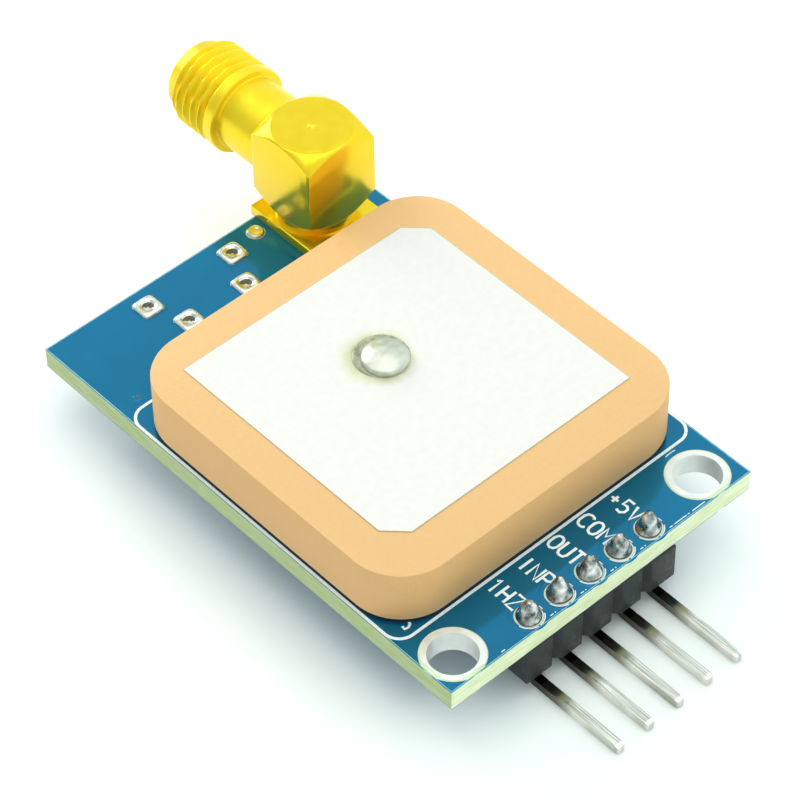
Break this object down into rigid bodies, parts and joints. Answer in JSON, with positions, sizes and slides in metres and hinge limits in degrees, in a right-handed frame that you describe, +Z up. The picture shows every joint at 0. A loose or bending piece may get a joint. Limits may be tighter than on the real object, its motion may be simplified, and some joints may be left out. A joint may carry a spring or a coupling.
{
  "type": "gps module",
  "caption": "Satellite positioning receiver board with a ceramic patch antenna on top, a gold right-angle coax jack, a micro data socket beneath and a right-angle pin header.",
  "frame": {"origin": "midway between the two mounting holes, on the board's underside", "axes": "+Z up through the board and the antenna, +Y from the pin header towards the coax jack, +X to the right, towards the jack's side of the board"},
  "size_m": [0.0255, 0.0542, 0.0139],
  "materials": {
    "laminate": "matte, faint weave on the sawn edges",
    "solder_mask": "semi-gloss lacquer",
    "tin_plating": "bright tin",
    "solder": "bright, reflowed",
    "white_ink": "matte print",
    "adhesive_tape": "matte foam",
    "fired_silver": "matte fired silver paste",
    "ceramic": "matte, pressed and sintered",
    "header_plastic": "satin moulded",
    "pin_plating": "bright tin over nickel",
    "gold_plating": "bright turned and plated",
    "white_dielectric": "waxy",
    "shell_steel": "satin rolled sheet",
    "black_moulding": "matte moulded",
    "receiver_laminate": "semi-gloss lacquer",
    "led_resin": "translucent resin",
    "resistor_glaze": "glazed",
    "capacitor_ceramic": "matte sintered"
  },
  "bodies": {
    "root": {"board": "laminate", "solder_mask_top": "solder_mask", "solder_mask_bottom": "solder_mask", "hole_plating": "tin_plating", "header_pads": "tin_plating", "socket_pads": "tin_plating", "coax_pads": "tin_plating", "feed_pad": "tin_plating", "ground_via": "tin_plating", "via_solder": "solder", "silkscreen_outline": "white_ink", "adhesive_pad": "adhesive_tape", "ground_electrode": "fired_silver", "ceramic_body": "ceramic", "antenna_electrode": "fired_silver", "feed_pin": "tin_plating", "feed_solder": "solder", "header_housing": "header_plastic", "header_pin_1": "pin_plating", "header_pin_2": "pin_plating", "header_pin_3": "pin_plating", "header_pin_4": "pin_plating", "header_pin_5": "pin_plating", "header_solder": "solder", "coax_body": "gold_plating", "coax_barrel": "gold_plating", "coax_bush": "white_dielectric", "coax_insulator": "white_dielectric", "coax_contact": "gold_plating", "coax_cap": "gold_plating", "coax_solder": "solder", "socket_shell": "shell_steel", "socket_insulator": "black_moulding", "socket_contacts": "gold_plating", "socket_solder": "solder", "receiver_board": "receiver_laminate", "receiver_shield": "shell_steel", "memory_chip": "black_moulding", "memory_leads": "tin_plating", "regulator": "black_moulding", "regulator_leads": "tin_plating", "backup_cell": "shell_steel", "backup_cell_tabs": "tin_plating", "status_led": "led_resin", "resistors": "resistor_glaze", "capacitors": "capacitor_ceramic", "chip_terminals": "tin_plating"}
  },
  "joints": []
}
